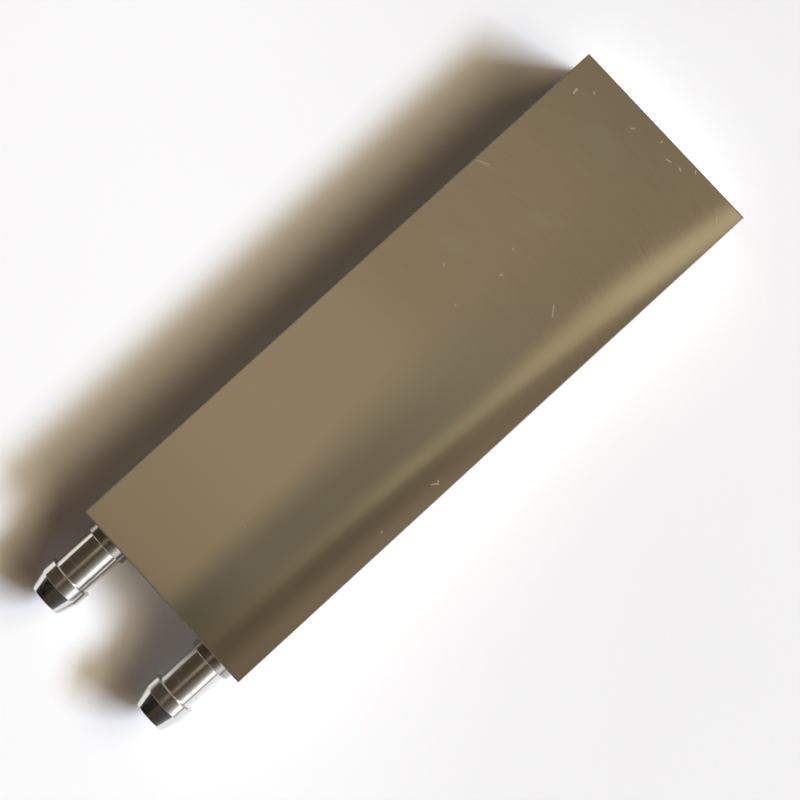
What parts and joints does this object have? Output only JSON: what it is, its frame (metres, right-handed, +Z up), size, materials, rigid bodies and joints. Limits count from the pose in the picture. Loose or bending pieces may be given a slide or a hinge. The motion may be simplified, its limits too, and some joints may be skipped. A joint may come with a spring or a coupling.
{
  "type": "water cooling block",
  "caption": "Flat rectangular aluminium liquid cooling block with two barbed hose nozzles side by side on one short end and webbed channels inside.",
  "frame": {"origin": "centre of the block's underside", "axes": "+X along the block's length, away from the nozzles; +Y across the block; +Z up through its thickness"},
  "size_m": [0.1362, 0.04, 0.012],
  "materials": {
    "brushed_body": "satin, sanded across the width",
    "milled_plug": "milled, satin",
    "turned_nozzle": "bright turned"
  },
  "bodies": {
    "root": {"extruded_body": "brushed_body", "nozzle_end_plug": "milled_plug", "blank_end_plug": "milled_plug", "inlet_nozzle": "turned_nozzle", "outlet_nozzle": "turned_nozzle"}
  },
  "joints": []
}
